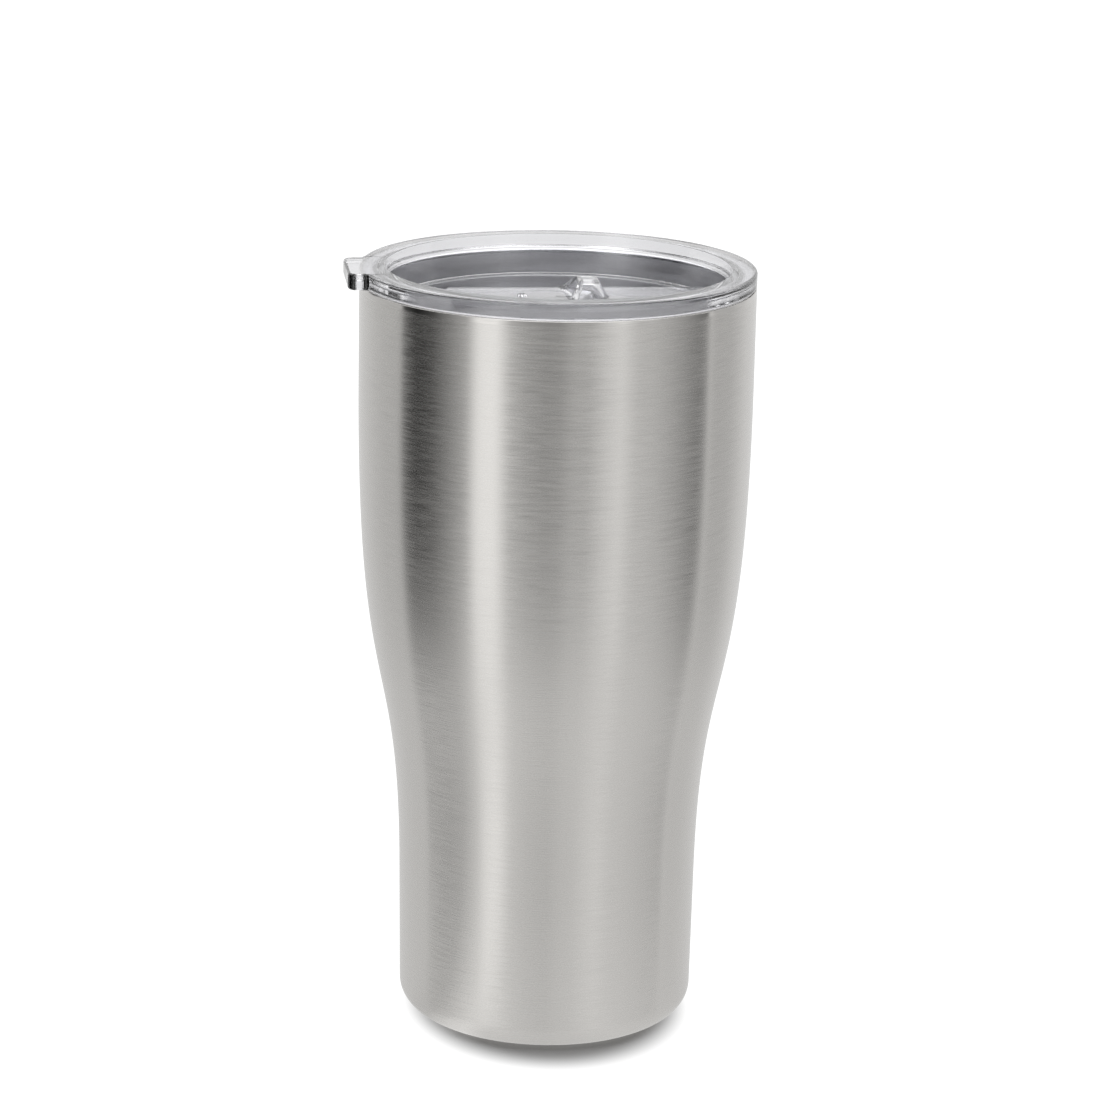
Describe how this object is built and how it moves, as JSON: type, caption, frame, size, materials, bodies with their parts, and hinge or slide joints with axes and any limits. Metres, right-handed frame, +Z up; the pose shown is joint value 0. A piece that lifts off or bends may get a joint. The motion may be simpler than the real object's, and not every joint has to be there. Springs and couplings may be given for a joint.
{
  "type": "insulated tumbler with lid",
  "caption": "Double-walled steel tumbler with a waisted body and a clear press-in lid that has a pull tab and a sliding closure.",
  "frame": {"origin": "centre of the base, on the surface the cup stands on", "axes": "+Z up along the cup's axis, -X towards the lid's pull tab, +X towards the drinking hole"},
  "size_m": [0.1056, 0.102, 0.2006],
  "materials": {
    "brushed_steel": "stainless steel with fine brushing round the body",
    "liner_steel": "satin stainless steel, electropolished inside",
    "clear_plastic": "clear moulded plastic, glossy, faintly cool",
    "clear_silicone": "translucent silicone, satin",
    "grey_silicone": "grey silicone, matte",
    "seal_glass": "dark solder glass",
    "getter_metal": "dull sintered metal"
  },
  "bodies": {
    "tumbler": {"outer_shell": "brushed_steel", "outer_bottom": "brushed_steel", "inner_liner": "liner_steel", "liner_bottom": "liner_steel", "vacuum_seal": "seal_glass", "getter_clip": "liner_steel", "getter": "getter_metal", "base_pad": "grey_silicone"},
    "lid_seal": {"lid_gasket": "clear_silicone"},
    "lid": {"lid_body": "clear_plastic"},
    "closure": {"slider": "clear_plastic", "slider_retainer": "clear_plastic"}
  },
  "joints": [
    {"name": "lid_lift", "type": "slide", "parent": "tumbler", "child": "lid_seal", "axis": [0, 0, 1], "range_m": [0, 0.1]},
    {"name": "lid_turn", "type": "hinge", "parent": "lid_seal", "child": "lid", "pos_m": [0, 0, 0.19], "axis": [0, 0, 1], "continuous": true},
    {"name": "slider_slide", "type": "slide", "parent": "lid", "child": "closure", "axis": [-1, 0, 0], "range_m": [0, 0.0125]}
  ]
}
